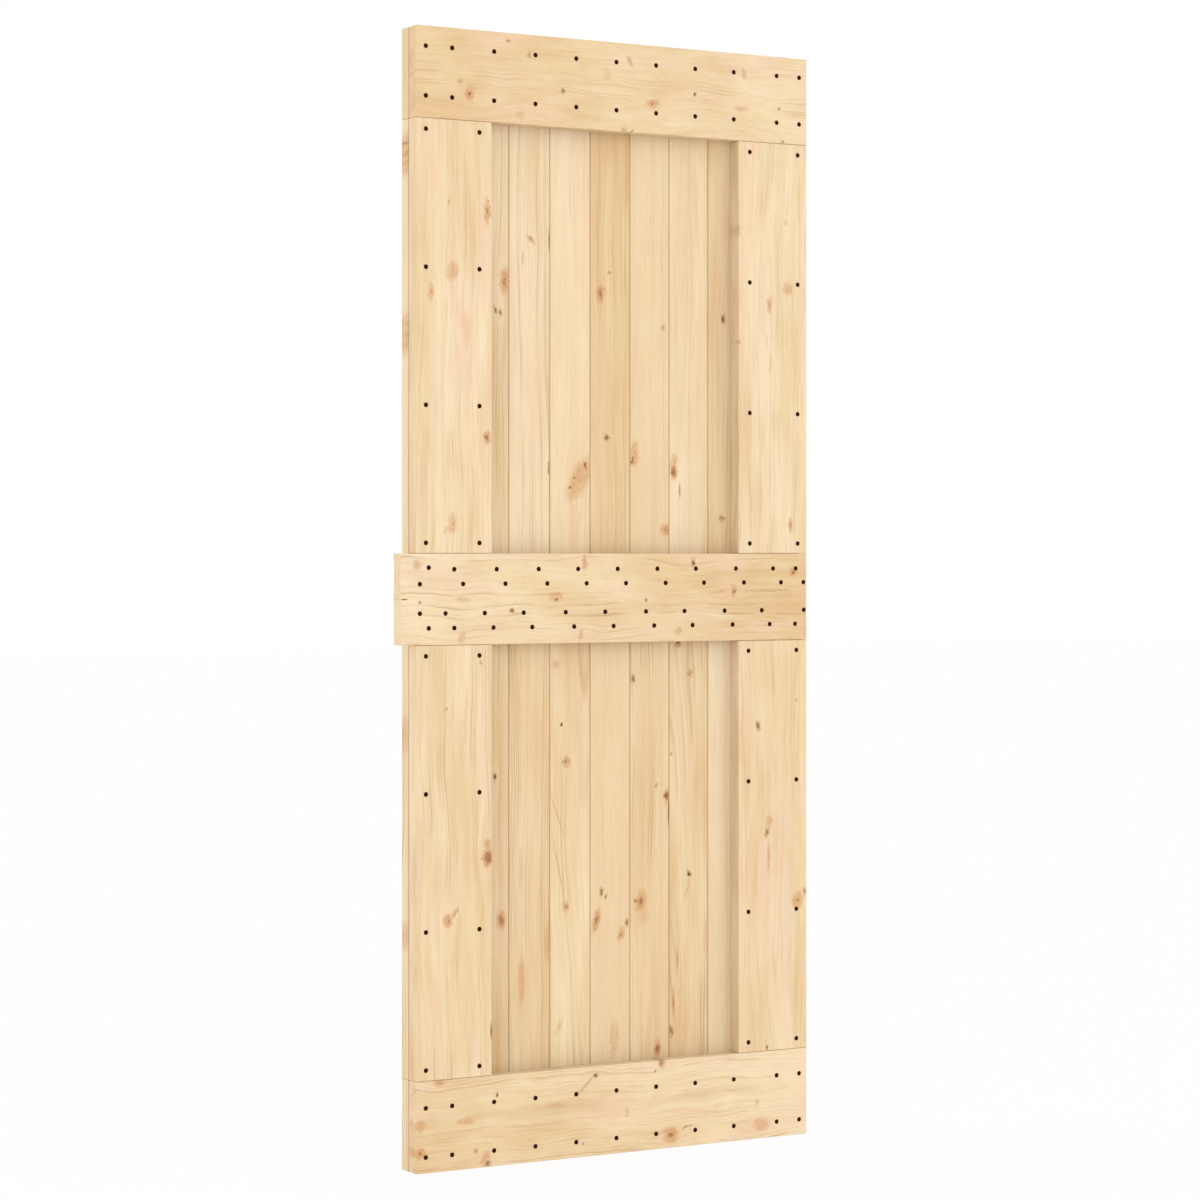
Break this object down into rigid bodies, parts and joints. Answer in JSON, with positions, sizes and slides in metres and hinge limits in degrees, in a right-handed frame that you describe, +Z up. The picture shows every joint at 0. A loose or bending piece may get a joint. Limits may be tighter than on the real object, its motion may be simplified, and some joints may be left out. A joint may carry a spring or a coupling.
{
  "type": "wooden door",
  "caption": "Solid pine sliding door leaf: flush rails and stiles screwed over tongue-and-groove planks, with a mid rail that runs past one side edge.",
  "frame": {"origin": "centre of the top rail's front face, where the hangers of a sliding track are bolted", "axes": "+X to the right seen from the front, +Y from the front face into the door, +Z up"},
  "size_m": [0.881, 0.06, 2.1],
  "materials": {
    "frame_pine": "planed, unfinished",
    "plank_pine": "planed, unfinished",
    "screw_black": "black coated, matt"
  },
  "bodies": {
    "root": {"bottom_left_edge_strip": "plank_pine", "bottom_rail": "frame_pine", "bottom_right_edge_strip": "plank_pine", "lower_left_edge_strip": "plank_pine", "lower_left_stile": "frame_pine", "lower_plank_1": "plank_pine", "lower_plank_2": "plank_pine", "lower_plank_3": "plank_pine", "lower_plank_4": "plank_pine", "lower_plank_5": "plank_pine", "lower_plank_6": "plank_pine", "lower_plank_7": "plank_pine", "lower_plank_8": "plank_pine", "lower_plank_9": "plank_pine", "lower_right_edge_strip": "plank_pine", "lower_right_stile": "frame_pine", "mid_rail": "frame_pine", "top_left_edge_strip": "plank_pine", "top_rail": "frame_pine", "top_right_edge_strip": "plank_pine", "upper_left_edge_strip": "plank_pine", "upper_left_stile": "frame_pine", "upper_plank_1": "plank_pine", "upper_plank_2": "plank_pine", "upper_plank_3": "plank_pine", "upper_plank_4": "plank_pine", "upper_plank_5": "plank_pine", "upper_plank_6": "plank_pine", "upper_plank_7": "plank_pine", "upper_plank_8": "plank_pine", "upper_plank_9": "plank_pine", "upper_right_edge_strip": "plank_pine", "upper_right_stile": "frame_pine"}
  },
  "joints": []
}
